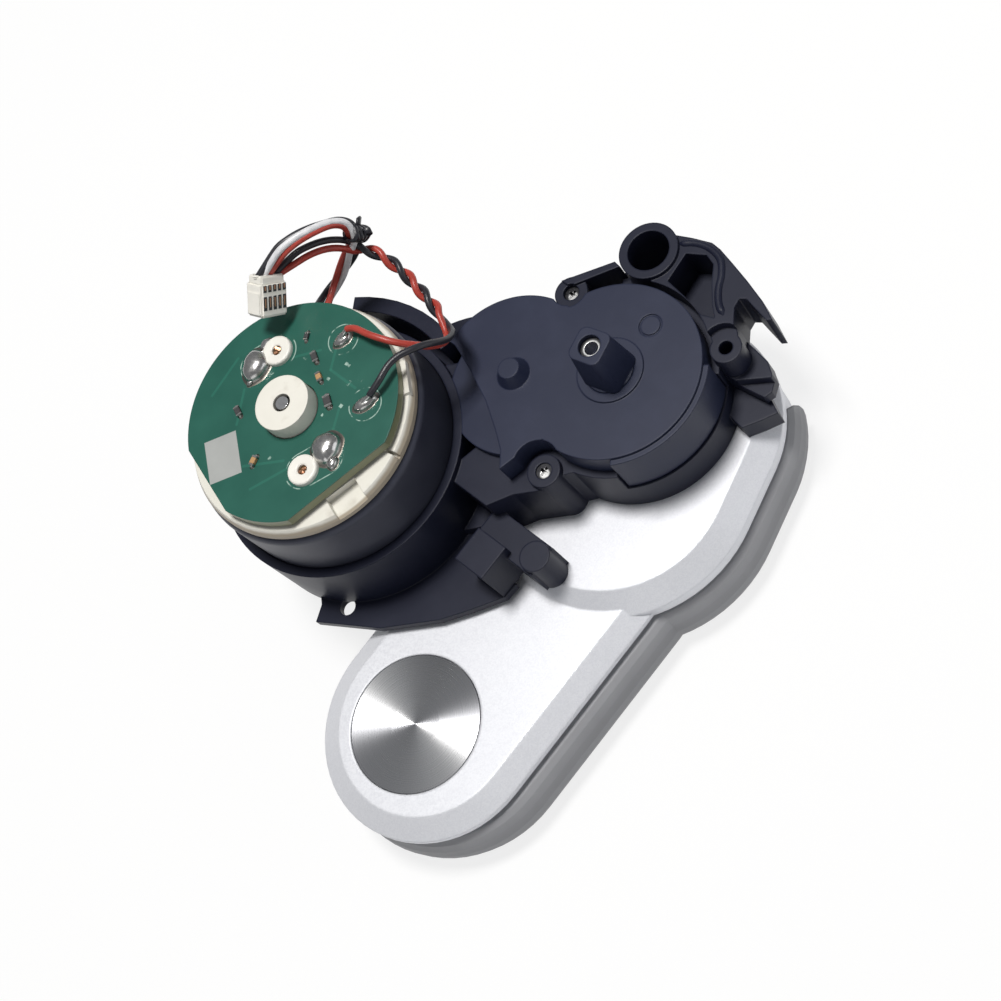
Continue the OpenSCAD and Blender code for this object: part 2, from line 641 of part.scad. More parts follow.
// Height of the rotor's poles, from the core's hub to its rim
pole_h = 8.8;
core_hub_r = core_r - pole_h;
core_z = can_z + 3.4;
core_h = 7.2;
module rotor_core() {
    color("lightsteelblue") translate([motor_x, motor_y, core_z]) linear_extrude(core_h)
        difference() {
            union() {
                circle(r = core_hub_r);
                for (i = [0:pole_n - 1]) rotate(i * 360 / pole_n) {
                    translate([core_hub_r - 1.4, -1.6]) square([pole_h + 0.4, 3.2]);
                    intersection() {
                        difference() { circle(r = core_r); circle(r = core_r - 1.6); }
                        sector(60, -150 / pole_n, 150 / pole_n);
                    }
                }
            }
            circle(r = shaft_r + seat_gap);
        }
}
module rotor_windings() {
    color("chocolate") translate([motor_x, motor_y, core_z - 1.1])
        for (i = [0:pole_n - 1]) rotate(i * 360 / pole_n) translate([core_hub_r + 1.2, 0, 0])
            difference() {
                translate([0, -2.7, 0]) cube([pole_h - 4, 5.4, core_h + 2.2]);
                translate([-1, -1.62, 1.08]) cube([pole_h, 3.24, core_h + 0.04]);
            }
}
module commutator() {
    color("peru") translate([motor_x, motor_y, core_z + core_h + 0.3]) difference() {
        cylinder(r = 3.2, h = can_top_z - core_z - core_h - 0.3 + 0.2);
        translate([0, 0, -1]) cylinder(r = shaft_r + seat_gap, h = 20);
        for (i = [0:pole_n - 1]) rotate((i + 0.5) * 360 / pole_n) translate([2.5, -0.15, -1])
            cube([2, 0.3, 20]);
    }
}
module motor_shaft() {
    color("silver") disc_at(motor_at, shaft_r, first_wheel_z, hub_top_z - 0.1 - first_wheel_z);
}
module motor_pinion() {
    color("goldenrod") translate([motor_x, motor_y, first_wheel_z]) linear_extrude(gear_w)
        difference() {
            gear_outline(pinion_teeth, motor_to_first);
            circle(r = shaft_r + seat_gap);
        }
}
module front_bush() {
    color("peru") ring_at(motor_at, 3, shaft_r + run_gap, can_z - 1, 3);
}
module rear_bush() {
    color("peru") ring_at(motor_at, 3, shaft_r + run_gap, hub_top_z - 3.55, 2.5);
}
module carbon_brushes() {
    color("black") translate([motor_x, motor_y, can_top_z - 2]) for (a = brush_turns) rotate(a)
        translate([3.2 + 0.1, -1.5, 0]) cube([3.6, 3, 2]);
}
module brush_springs() {
    color("goldenrod") translate([motor_x, motor_y, can_top_z - 1.9]) for (a = brush_turns) rotate(a)
        translate([6.9, -1.6, 0]) cube([0.6, 3.2, 2.8]);
}

// Circuit board, with the tabs and solder that join it to the brush gear
pad_red = [18.8, -31];
pad_black = [24.1, -21];
tab_r = 2.4;
blob_r = 2.2;
tab_at = [for (a = brush_turns) motor_at + polar(9.95, a)];
blob_at = [for (a = brush_turns) motor_at + polar(10.2, a + 21)];
// Flat edges of the board: their turn and their distance from the motor axis
board_flats = [[74, 14.4], [345, 15.6]];
module circuit_board() {
    color("seagreen") translate([0, 0, board_z + seat_gap]) linear_extrude(board_t - seat_gap)
        difference() {
            translate(motor_at) circle(r = board_r);
            translate(motor_at) circle(r = hub_r + 0.15);
            for (flat = board_flats) translate(motor_at) rotate(flat[0])
                translate([flat[1], -15]) square([10, 30]);
            for (at = tab_at) translate(at) circle(r = 1.5);
        }
}
module brush_tabs() {
    color("ivory") for (i = [0, 1]) difference() {
        ring_at(tab_at[i], tab_r, 0.7, board_top_z, 0.8);
        disc_at(blob_at[i], blob_r + seat_gap, board_top_z - 1, 3);
    }
}
module solder_dome(at, r, h) {
    cap_r = (r * r + h * h) / 2 / h;
    translate([at[0], at[1], board_top_z]) intersection() {
        translate([0, 0, h - cap_r]) sphere(r = cap_r);
        cylinder(r = r + 1, h = h + 1);
    }
}
module solder_joints() {
    color("silver") {
        for (at = blob_at) solder_dome(at, blob_r, 1.7);
        for (at = [pad_red, pad_black]) solder_dome(at, 1.5, 0.8);
    }
}
module board_parts() {
    color("dimgray") for (p = [[22.6, -28.6, 1.6, 0.9], [25, -26.6, 0.9, 1.2], [27, -24.8, 1.6, 1],
        [35.2, -38.4, 1, 1.4], [39.4, -29.6, 1.4, 0.8]])
        translate([p[0], p[1], board_top_z]) cube([p[2], p[3], 0.6]);
}
module motor_screws() {
    color("silver") for (a = motor_screw_turns) on_motor(motor_screw_ring, a)
        translate([0, 0, sleeve_floor_z]) mirror([0, 0, 1])
            pan_screw([0, 0], 0, 2.2, 1.3, 1, 2.3);
}

// Plug: where its middle is, its size, and its turn about the three axes after a roll
plug_at = [20.4, -42.8, 44.6];
plug_size = [4.6, 3.6, 6];
plug_roll = -15;
plug_tilt = 53.3;
plug_turn = 203.1;
// A point of the plug, given in its own axes, on the part
function spun(p, a) = [p[0] * cos(a) - p[1] * sin(a), p[0] * sin(a) + p[1] * cos(a), p[2]];
function tilted(p, a) = [p[0] * cos(a) + p[2] * sin(a), p[1], p[2] * cos(a) - p[0] * sin(a)];
function plug_point(p) = plug_at + spun(tilted(spun(p, plug_roll), plug_tilt), plug_turn);
plug_face = plug_size[2] / 2 + seat_gap;

// Leads: a tube of eight sides swept along points that are chosen by hand, square to the plug's
// face where it leaves the plug
plug_route = [plug_point([-1.1, 0, plug_face]), plug_point([-1.1, 0, plug_face + 1.2]),
    [14.7, -42.5, 48.4], [12.1, -41.6, 48.6], [9.4, -40.8, 47.8], [7, -40.5, 46], [5.7, -40.2, 44]];
power_route = [plug_point([1.3, 0, plug_face]), plug_point([1.3, 0, plug_face + 1]),
    [14, -41.8, 45.7], [11.8, -41.3, 45], [9.7, -40.8, 43.6], [8.2, -40.1, 42]];
sensor_route = [[8.2, -40.5, 38.6], [10, -41.2, 37.2], [11.7, -41.5, 36.4], [13.6, -41.5, 36],
    [15.2, -40.9, 36.2], [16.7, -40, 36.8]];
pair_route = [[6.6, -38.6, 38.8], [5.9, -37.3, 38], [5.7, -35.6, 37], [5.7, -33.4, 36],
    [6.1, -31, 35.2], [6.6, -28.4, 34.6], [7.2, -25.8, 34.1], [8.2, -23.4, 33.8]];
red_route = [[9.3, -21.7, 33.6], [10.5, -20.2, 34.8], [12.3, -19.8, 37.2], [13.6, -20.5, 39.2],
    [14.9, -22, 40.6], [15.8, -23.9, 41.5], [16.5, -26.5, 41.7], [16.8, -29.2, 41.3], [17.5, -30.6, 40.8]];
black_route = [[10.1, -19.1, 36.2], [11.4, -18.8, 38], [13, -19, 39.8], [14.8, -19.5, 40.9],
    [16.7, -20.2, 41.4], [18.6, -20.4, 41.5], [20.5, -20.1, 41.4], [22.3, -20.2, 41], [23.2, -20.3, 40.7]];
function unit(v) = v / norm(v);
function along(route, i) = unit(route[min(i + 1, len(route) - 1)] - route[max(i - 1, 0)]);
function across(dir) = unit(cross(dir, abs(dir[2]) < 0.9 ? [0, 0, 1] : [1, 0, 0]));
module tube(route, r) {
    sides = 8;
    last = len(route) - 1;
    polyhedron(
        points = [for (i = [0:last], k = [0:sides - 1])
            let (d = along(route, i), u = across(d), v = cross(d, u), a = k * 360 / sides)
            route[i] + r * (cos(a) * u + sin(a) * v)],
        faces = concat([[for (k = [0:sides - 1]) k]],
            [[for (k = [0:sides - 1]) last * sides + sides - 1 - k]],
            [for (i = [0:last - 1], k = [0:sides - 1])
                let (a = i * sides + k, b = i * sides + (k + 1) % sides)
                for (face = [[a, a + sides, b + sides], [a, b + sides, b]]) face]));
}
tie_at = [5.5, -39.6, 41.2];
tie_turn = [0, 69, 212.4];
tie_r = 1.3;
tie_h = 3.2;
module lead_plug() {
    color("ivory") translate(plug_at) rotate([0, plug_tilt, plug_turn]) rotate(plug_roll) difference() {
        cube(plug_size, center = true);
        translate([0, 0, -plug_size[2] / 2])
            cube([plug_size[0] - 1.2, plug_size[1] - 1.2, 3], center = true);
    }
}
module plug_leads() { color("firebrick") tube(plug_route, 1.2); }
module power_leads() { color("black") tube(power_route, 0.9); }
module lead_tie() {
    color("black") translate(tie_at) rotate(tie_turn) cylinder(r = tie_r, h = tie_h, center = true);
}
module sensor_leads() { color("firebrick") tube(sensor_route, 0.9); }
module motor_leads() { color("firebrick") tube(pair_route, 0.9); }
module red_lead() { color("red") tube(red_route, 0.55); }
module black_lead() { color("black") tube(black_route, 0.55); }

base_shell();
base_bumper();
spun_disc();
gear_housing();
gear_cover();
well_cover();
cover_screws();
well_screws();
base_screws();
brush_shaft_gear();
shaft_insert();
idler_gear();
idler_pin();
first_gear();
first_pin();
motor_can();
end_bell();
magnets();
rotor_core();
rotor_windings();
commutator();
motor_shaft();
motor_pinion();
front_bush();
rear_bush();
carbon_brushes();
brush_springs();
circuit_board();
brush_tabs();
solder_joints();
board_parts();
motor_screws();
lead_plug();
plug_leads();
lead_tie();
sensor_leads();
power_leads();
motor_leads();
red_lead();
black_lead();
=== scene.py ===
import math

import bmesh
import bpy
from mathutils import Euler, Matrix, Vector


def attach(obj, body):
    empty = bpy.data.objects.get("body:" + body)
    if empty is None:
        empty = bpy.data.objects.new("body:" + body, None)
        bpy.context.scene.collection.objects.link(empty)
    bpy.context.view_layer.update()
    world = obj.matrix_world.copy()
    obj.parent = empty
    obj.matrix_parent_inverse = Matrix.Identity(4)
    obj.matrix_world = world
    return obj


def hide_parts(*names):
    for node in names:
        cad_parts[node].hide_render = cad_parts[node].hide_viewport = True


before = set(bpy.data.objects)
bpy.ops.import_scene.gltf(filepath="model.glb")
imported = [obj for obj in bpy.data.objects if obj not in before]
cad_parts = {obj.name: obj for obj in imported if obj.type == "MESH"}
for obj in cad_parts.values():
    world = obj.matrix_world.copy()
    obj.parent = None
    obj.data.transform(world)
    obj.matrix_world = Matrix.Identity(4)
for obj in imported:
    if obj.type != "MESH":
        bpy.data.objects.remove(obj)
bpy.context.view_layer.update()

scene = bpy.context.scene
scene.view_settings.view_transform = "Standard"


def mm(point):
    return Vector(point) * 0.001


def turned(degrees):
    return Matrix.Rotation(math.radians(degrees), 4, "Z")


def moved(x, y, z):
    return Matrix.Translation((x, y, z))


def facing(direction):
    # Turns z along the direction
    return direction.to_track_quat("Z", "Y").to_matrix().to_4x4()


def addObject(name, data):
    made = bpy.data.objects.new(name, data)
    scene.collection.objects.link(made)
    return made


def meshData(name, mesh):
    data = bpy.data.meshes.new(name)
    mesh.to_mesh(data)
    mesh.free()
    return data


# The photograph's camera: its place in millimetres, its axes and its lens
shot = {
    "place": (35.35, 147.3, 259.8),
    "right": (-0.6151, 0.6781, -0.4023),
    "up": (-0.7873, -0.5002, 0.3606),
    "forward": (-0.0433, -0.5386, -0.8415),
    "lens": 72.04,
    "sensor": 36,
    "nearest": 0.01,
}
cameraData = bpy.data.cameras.new("photoCamera")
cameraData.lens = shot["lens"]
cameraData.sensor_width = shot["sensor"]
cameraData.clip_start = shot["nearest"]
photoCamera = addObject("photoCamera", cameraData)
cameraAxes = [Vector(axis).normalized() for axis in (shot["right"], shot["up"], -Vector(shot["forward"]))]
photoCamera.matrix_world = Matrix.Translation(mm(shot["place"])) @ Matrix(cameraAxes).transposed().to_4x4()
scene.camera = photoCamera
print("camera set")

# The leads: five wires, each in one run from its end to the plug
# Points that they follow, in millimetres as in the part's source
leadRoutes = {
    "upperArch": [(18.9, -43.8, 47.3), (17.2, -43.2, 47.6), (14.7, -42.5, 48.4), (12.1, -41.6, 48.6),
                  (9.4, -40.8, 47.8), (7, -40.5, 46), (5.7, -40.2, 44)],
    "lowerArch": [(17.2, -43.7, 45.3), (16.1, -42.5, 45.5), (14, -41.8, 45.7), (11.8, -41.3, 45),
                  (9.7, -40.8, 43.6), (8.2, -40.1, 42)],
    "toBoardBack": [(8.2, -40.5, 38.6), (10, -41.2, 37.2), (11.7, -41.5, 36.4), (13.6, -41.5, 36),
                    (15.2, -40.9, 36.2), (16.7, -40, 36.8)],
    "twistedPair": [(6.7, -38.7, 39), (5.9, -37.3, 38), (5.7, -35.6, 37), (5.7, -33.4, 36),
                    (6.1, -31, 35.2), (6.6, -28.4, 34.6), (7.2, -25.8, 34.1), (8.2, -23.4, 33.8)],
    "redEnd": [(9.3, -21.7, 33.6), (10.5, -20.2, 34.8), (12.3, -19.8, 37.2), (13.6, -20.5, 39.2),
               (14.9, -22, 40.6), (15.8, -23.9, 41.5), (16.5, -26.5, 41.7), (16.8, -29.2, 41.3),
               (17.5, -30.6, 40.8)],
    "blackEnd": [(8.3, -21.9, 33.7), (8.9, -20.2, 34.7), (10.1, -19.1, 36.2), (11.4, -18.8, 38),
                 (13, -19, 39.8), (14.8, -19.5, 40.9), (16.7, -20.2, 41.4), (18.6, -20.4, 41.5),
                 (20.5, -20.1, 41.4), (22.3, -20.2, 41), (23.2, -20.3, 40.7)],
    "pairTie": [(7.4, -39.7, 40.3)],
    "threeTie": [(5.7, -39.8, 42.6), (6.2, -39.6, 41.1), (7.2, -39.9, 39.7)],
}
wireSet = {
    "radius": 0.5,
    "step": 0.3,
    "smoothings": 8,
    "pairAway": 0.6,  # from the middle of the pair
    "threeAway": 0.68,
    # Turns about the run, in degrees, at distances along it
    "pairTurns": [(0, 20), (18.5, 1080), (60, 1080)],
    "threeTurns": {
        "blackSensorWire": [(0, 0), (10.5, -180), (19, -110), (30, -180), (60, -180)],
        "whiteSensorWire": [(0, -90), (10.5, -270), (60, -270)],
        "redSensorWire": [(0, 180), (10.5, 0), (19, 50), (30, 0), (60, 0)],
    },
}
# The plug lies in its own axes: x along its row of wires, z out of the face that they enter
plugSet = {
    "at": (20.4, -42.8, 44.6), "size": (4.6, 3.6, 6.0),
    "tilt": 53.3, "turn": 203.1, "roll": -15.0,
    "wires": 5, "between": 0.86, "wireEnd": 2.4,
    "windows": [(-1.9, 0.1), (0.7, 1.7)],
}
plugTurn = Euler((0, math.radians(plugSet["tilt"]), math.radians(plugSet["turn"])))
plugFrame = Matrix.Translation(plugSet["at"]) @ plugTurn.to_matrix().to_4x4() @ turned(plugSet["roll"])


def heading(run, i):
    return (run[min(i + 1, len(run) - 1)] - run[max(i - 1, 0)]).normalized()


def smoothRun(points, step):
    # Catmull-Rom through the points, then even steps along it
    pts = [Vector(p) for p in points]
    pts = [pts[0] * 2 - pts[1]] + pts + [pts[-1] * 2 - pts[-2]]
    fine = []
    for a, b, c, d in zip(pts, pts[1:], pts[2:], pts[3:]):
        for k in range(12):
            t = k / 12
            fine.append(0.5 * (2 * b + (c - a) * t + (2 * a - 5 * b + 4 * c - d) * t * t
                               + (3 * b - a - 3 * c + d) * t ** 3))
    fine.append(pts[-2])
    run, left = [fine[0]], step
    for a, b in zip(fine, fine[1:]):
        length = (b - a).length
        while length > left:
            a = a + (b - a) * (left / length)
            run.append(a)
            length, left = (b - a).length, step
        left -= length
    if (run[-1] - fine[-1]).length > step * 0.4:
        run.append(fine[-1])
    return run


def besideRun(run, away, turns):
    # A wire that winds round the run, at a distance from it
    near = -Vector(shot["forward"])
    beside, gone = [], 0.0
    for i, p in enumerate(run):
        ahead = heading(run, i)
        left = near.cross(ahead).normalized()
        high = ahead.cross(left)
        if i:
            gone += (p - run[i - 1]).length
        turn = turns[-1][1]
        for (startAt, startTurn), (endAt, endTurn) in zip(turns, turns[1:]):
            if gone <= endAt:
                turn = startTurn + (endTurn - startTurn) * max(gone - startAt, 0) / (endAt - startAt)
                break
        turn = math.radians(turn)
        beside.append(p + (left * math.cos(turn) + high * math.sin(turn)) * away)
    return beside


def acrossRow(place):
    # Where a wire's place is on the plug's x axis
    return (place - (plugSet["wires"] - 1) / 2) * plugSet["between"]


def laid(start, wound, place):
    # A wire's whole path: its free end, the wound stretch, then its place in the plug
    plugEnd = plugFrame @ Vector((acrossRow(place), 0, plugSet["wireEnd"]))
    every, near = 4, 14  # one point in four, and none near the plug, so that the wire turns gently into it
    middle = [tuple(p) for p in wound[every if start else 0:-near:every]]
    return smoothRun(start + middle + [tuple(plugEnd)], wireSet["step"])


def sweep(mesh, run, sizes, sides=12):
    # A round tube along the run, with a size at each of its points
    side = Vector((0.31, -0.2, 0.93))
    rows = []
    for i, p in enumerate(run):
        ahead = heading(run, i)
        side = (side - ahead * side.dot(ahead)).normalized()
        over = ahead.cross(side)
        rows.append([mesh.verts.new(mm(p + (side * math.cos(a) + over * math.sin(a)) * sizes[i]))
                     for a in (2 * math.pi * k / sides for k in range(sides))])
    for low, high in zip(rows, rows[1:]):
        for k in range(sides):
            mesh.faces.new((low[k], low[(k + 1) % sides], high[(k + 1) % sides], high[k]))
    mesh.faces.new(list(reversed(rows[0])))
    mesh.faces.new(rows[-1])


def wireTube(name, points):
    for _ in range(wireSet["smoothings"]):
        eased = [a * 0.25 + b * 0.5 + c * 0.25 for a, b, c in zip(points, points[1:], points[2:])]
        points = points[:1] + eased + points[-1:]
    mesh = bmesh.new()
    sweep(mesh, points, [wireSet["radius"]] * len(points))
    data = meshData(name, mesh)
    data.shade_smooth()
    return addObject(name, data), [tuple(mm(p)) for p in points]


def backwards(*routes):
    # Joins routes into one run that goes from the leads' free ends to the plug
    return [p for route in routes for p in reversed(leadRoutes[route])]


pairRun = smoothRun(backwards("twistedPair", "pairTie", "lowerArch"), wireSet["step"])
threeRun = smoothRun(backwards("toBoardBack", "threeTie", "upperArch"), wireSet["step"])
redTurns = wireSet["pairTurns"]
blackTurns = [(gone, turn + 180) for gone, turn in redTurns]
wires = {
    "redMotorWire": laid(backwards("redEnd"), besideRun(pairRun, wireSet["pairAway"], redTurns), 4),
    "blackMotorWire": laid(backwards("blackEnd"), besideRun(pairRun, wireSet["pairAway"], blackTurns), 3),
}
for place, (name, turns) in enumerate(wireSet["threeTurns"].items()):
    wires[name] = laid([], besideRun(threeRun, wireSet["threeAway"], turns), place)
wireObjects, wirePaths = {}, {}
for name, points in wires.items():
    wireObjects[name], wirePaths[name] = wireTube(name, points)
    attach(wireObjects[name], "drive_body")
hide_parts("red_lead", "motor_leads", "power_leads")
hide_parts("black_lead")
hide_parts("plug_leads", "sensor_leads")
print("leads laid:", {name: len(points) for name, points in wires.items()})


class Value:
    # A node's output, on which Python's operators add Math nodes
    def __init__(self, nodes, socket):
        self.nodes, self.socket = nodes, socket

    def maths(self, operation, *others):
        return self.nodes.node("ShaderNodeMath", {"operation": operation}, dict(enumerate((self,) + others)))

    def reflected(self, operation, other):
        return self.nodes.node("ShaderNodeMath", {"operation": operation}, {0: other, 1: self})

    def __add__(self, other):
        return self.maths("ADD", other)

    def __radd__(self, other):
        return self.reflected("ADD", other)

    def __sub__(self, other):
        return self.maths("SUBTRACT", other)

    def __rsub__(self, other):
        return self.reflected("SUBTRACT", other)

    def __mul__(self, other):
        return self.maths("MULTIPLY", other)

    def __rmul__(self, other):
        return self.reflected("MULTIPLY", other)

    def __truediv__(self, other):
        return self.maths("DIVIDE", other)

    def __rtruediv__(self, other):
        return self.reflected("DIVIDE", other)

    def __pow__(self, other):
        return self.maths("POWER", other)

    def __rpow__(self, other):
        return self.reflected("POWER", other)


class Nodes:
    # The nodes of a material or of the world
    def __init__(self, tree):
        self.tree = tree

    def node(self, kind, settings=None, inputs=None, output=0):
        made = self.tree.nodes.new(kind)
        for key, value in (settings or {}).items():
            setattr(made, key, value)
        for key, value in (inputs or {}).items():
            if isinstance(value, Value):
                self.tree.links.new(value.socket, made.inputs[key])
            elif value is not None:
                made.inputs[key].default_value = value
        return Value(self, made.outputs[output])

    def show(self, value, outputName):
        self.tree.links.new(value.socket, self.tree.nodes[outputName].inputs["Surface"])


class Finish(Nodes):
    def __init__(self, name, colour, rough=0.5, fixed=None):
        self.material = bpy.data.materials.new(name)
        self.material.use_nodes = True
        super().__init__(self.material.node_tree)
        self.skin = self.tree.nodes["Principled BSDF"]
        self.skin.inputs["Base Color"].default_value = (*colour, 1)
        self.skin.inputs["Roughness"].default_value = rough
        for key, value in (fixed or {}).items():
            self.skin.inputs[key].default_value = value
        self.place = self.node("ShaderNodeTexCoord", output="Object")

    def noise(self, scale, detail=3.0, rough=0.5, place=None):
        return self.node("ShaderNodeTexNoise", None, {
            "Vector": place or self.place, "Scale": scale, "Detail": detail, "Roughness": rough})

    def axes(self):
        # x, y and z in millimetres
        split = self.node("ShaderNodeSeparateXYZ", None, {0: self.place})
        return [Value(self, axis) * 1000 for axis in split.socket.node.outputs]

    def band(self, value, low, high):
        # 0 below low, 1 above high, smooth between
        return self.node("ShaderNodeMapRange", {"interpolation_type": "SMOOTHSTEP"},
                         {"Value": value, "From Min": low, "From Max": high})

    def mix(self, factor, first, second):
        first, second = ((*colour, 1) if isinstance(colour, tuple) else colour for colour in (first, second))
        return self.node("ShaderNodeMix", {"data_type": "RGBA"}, {0: factor, 6: first, 7: second}, 2)

    def feed(self, socket, value):
        self.tree.links.new(value.socket, self.skin.inputs[socket])

    def bump(self, height, strength=0.3, depth=0.05, edge=None):
        # Depth and the edge's radius are in millimetres
        rounded = edge and self.node("ShaderNodeBevel", {"samples": 6}, {"Radius": edge * 0.001})
        self.feed("Normal", self.node("ShaderNodeBump", None, {
            "Strength": strength, "Distance": depth * 0.001, "Height": height, "Normal": rounded}))


def awayFrom(x, y, at):
    # Distance in the board's plane from a point
    dx, dy = x - at[0], y - at[1]
    return (dx * dx + dy * dy) ** 0.5


def awayFromLine(x, y, start, end):
    # Distance in the board's plane from the line between two points
    alongX, alongY = end[0] - start[0], end[1] - start[1]
    share = ((x - start[0]) * alongX + (y - start[1]) * alongY) / (alongX ** 2 + alongY ** 2)
    share = share.maths("MAXIMUM", 0.0).maths("MINIMUM", 1.0)
    dx, dy = x - (share * alongX + start[0]), y - (share * alongY + start[1])
    return (dx * dx + dy * dy) ** 0.5


def greatest(values):
    most = values[0]
    for value in values[1:]:
        most = most.maths("MAXIMUM", value)
    return most


def darker(colour, share=0.72):
    return tuple(part * share for part in colour)


def paint(finish, *nodes):
    for name in nodes:
        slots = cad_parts[name].material_slots
        if not slots:
            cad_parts[name].data.materials.append(finish.material)
        for slot in slots:
            slot.material = finish.material


def mouldedPlastic(name, colour, rough, edge, grain=1.0, gloss=0.5):
    f = Finish(name, colour, rough, {"Specular IOR Level": gloss})
    cloud, fine = f.noise(160, 4, 0.6), f.noise(5200, 2, 0.6)
    pale = tuple(part * 1.35 + 0.004 for part in colour)
    f.feed("Base Color", f.mix(f.band(cloud, 0.42, 0.72) * 0.3, colour, pale))
    f.feed("Roughness", rough - 0.06 + cloud * 0.14)
    f.bump(fine * 0.7 + cloud * 0.6, 0.22 * grain, 0.03, edge)
    return f


def silverPaint():
    f = Finish("silverPaint", (0.68, 0.69, 0.72), 0.40, {"Metallic": 0.25})
    flake = f.node("ShaderNodeTexVoronoi", None, {"Vector": f.place, "Scale": 5200}, "Color")
    spark = f.node("ShaderNodeSeparateXYZ", None, {0: flake})
    soft = f.noise(60, 3)
    f.feed("Base Color", f.mix(spark * 0.5 + soft * 0.3, (0.68, 0.69, 0.735), (0.79, 0.80, 0.835)))
    f.feed("Roughness", 0.36 + spark * 0.14)
    f.bump(spark * 0.2 + soft, 0.08, 0.04, 0.5)
    return f


def softBumper():
    f = Finish("softBumper", (0.36, 0.365, 0.38), 0.62)
    x, y, z = f.axes()
    soft = f.noise(140, 4)
    # Painted shade: the bumper darker towards its bottom
    toneMask = f.band(z, 4.5, 8.4)
    f.feed("Base Color", f.mix(toneMask * 0.5 + soft * 0.4, (0.20, 0.202, 0.215), (0.36, 0.363, 0.38)))
    f.feed("Roughness", 0.52 + soft * 0.16)
    f.bump(f.noise(3000, 2), 0.15, 0.03, 0.4)
    return f


def turnedMetal(centre):
    f = Finish("turnedMetal", (0.8, 0.8, 0.81), 0.3,
               {"Metallic": 1.0, "Anisotropic": 0.9, "Anisotropic Rotation": 0.25})
    x, y, z = f.axes()
    ring = f.node("ShaderNodeCombineXYZ", None, {0: awayFrom(x, y, centre) * 0.001})
    grooves = f.noise(9000, 2, 0.7, ring)
    bands = f.noise(900, 2, 0.5, ring)
    # Painted reflection: bright and dark fans by angle round the disc's centre, standing in for the highlight
    # on its turned grooves
    turn = (y - centre[1]).maths("ARCTAN2", x - centre[0])
    paintedFans = (turn * 2 - 2.2).maths("COSINE") * 0.5 + (turn * 4 + 0.6).maths("COSINE") * 0.16 + 0.5
    # The disc's colour: painted reflection fans plus the real grain of its grooves and bands
    sheenAndGrain = paintedFans * 0.75 + grooves * 0.2 + bands * 0.05
    f.feed("Base Color", f.mix(sheenAndGrain, (0.36, 0.365, 0.39), (0.93, 0.93, 0.94)))
    f.feed("Roughness", 0.22 + grooves * 0.12)
    f.bump(grooves + bands * 0.2, 0.35, 0.008)
    return f


def darkCan():
    f = Finish("darkCan", (0.03, 0.031, 0.045), 0.40, {"Metallic": 0.2, "Specular IOR Level": 0.35})
    cloud, fine = f.noise(220, 4), f.noise(4200, 2)
    f.feed("Base Color", f.mix(cloud, (0.024, 0.026, 0.042), (0.045, 0.048, 0.068)))
    f.feed("Roughness", 0.36 + cloud * 0.16)
    f.bump(fine, 0.12, 0.02, 0.3)
    return f


def plainMetal(name, colour, rough):
    f = Finish(name, colour, rough, {"Metallic": 1.0})
    marks = f.noise(2600, 3, 0.6)
    f.feed("Base Color", f.mix(marks * 0.6, darker(colour), colour))
    f.feed("Roughness", rough - 0.05 + marks * 0.14)
    f.bump(marks, 0.16, 0.015, 0.08)
    return f


def sunkMetal(name, centres, glintRadius):
    # Metal at the bottom of a recess: a painted glint in the middle and painted recess shade round it
    f = Finish(name, (0.2, 0.2, 0.2), 0.3, {"Metallic": 1.0})
    x, y, z = f.axes()
    near = awayFrom(x, y, centres[0])
    for at in centres[1:]:
        near = near.maths("MINIMUM", awayFrom(x, y, at))
    marks = f.noise(2600, 3)
    # Painted recess shade, near black, outside the glint's radius
    dark = f.band(near + marks * 0.3, glintRadius, glintRadius + 0.4)
    black = f.mix(marks, (0.03, 0.03, 0.034), (0.07, 0.07, 0.076))
    f.feed("Base Color", f.mix(dark, (0.86, 0.86, 0.86), black))
    f.feed("Roughness", 0.24 + marks * 0.16)
    f.bump(marks, 0.14, 0.015, 0.08)
    return f


# The board's print: rings round its pads and tabs, ticks, traces and a bare patch
boardMarks = {
    "motor": (31.3, -30.5),
    "top": 39.5,
    "padRings": [((18.9, -31.0), 2.35), ((24.4, -20.9), 2.5)],
    "tabPairs": [((36.86, -22.25), (33.59, -20.56)), ((25.74, -38.75), (29.01, -40.44))],
    "tabRing": 2.75,
    "patch": {"centre": (42.45, -34.84), "along": (-0.81, 0.59), "half": (2.55, 3.4)},
    "ticks": [((21.4, -27.6), 0.45, 0.9), ((23.4, -25.4), 0.8, 0.35), ((24.6, -28.9), 0.4, 0.8),
              ((26.6, -24.0), 0.5, 0.5), ((28.9, -25.6), 0.9, 0.3), ((21.9, -24.2), 0.7, 0.7),
              ((36.2, -37.0), 0.5, 0.5), ((38.4, -28.2), 0.6, 0.35), ((24.2, -34.4), 0.35, 0.8)],
    "traces": [((20.5, -31.0), (23.4, -29.4)), ((23.4, -29.4), (23.4, -24.0)), ((30.5, -22.2), (26.6, -24.2)),
               ((37.5, -26.0), (41.6, -31.0)), ((33.0, -39.5), (37.6, -36.6)), ((25.0, -36.0), (22.0, -33.0)),
               ((30.0, -44.0), (36.5, -43.5)), ((37.2, -24.2), (43.5, -27.5))],
}


def bellCream():
    # Cream plastic, with painted shade low on the side of its rim and random darker blotches
    f = Finish("bellCream", (0.74, 0.71, 0.63), 0.42)
    x, y, z = f.axes()
    soft, fine = f.noise(240, 4), f.noise(3800, 2)
    outer = f.band(awayFrom(x, y, boardMarks["motor"]), 16.9, 17.4)
    low = 1 - f.band(z + soft * 0.6, 36.9, 37.5)
    # Painted shade on the rim's lower outer side, with random darker blotches
    toneMask = (outer * low).maths("MAXIMUM", f.band(soft, 0.56, 0.74) * 0.35)
    plainCream = f.mix(soft, (0.70, 0.68, 0.61), (0.79, 0.77, 0.70))
    f.feed("Base Color", f.mix(toneMask, plainCream, (0.34, 0.29, 0.22)))
    f.feed("Roughness", 0.38 + soft * 0.14)
    f.bump(fine * 0.4 + soft, 0.14, 0.04, 0.22)
    return f


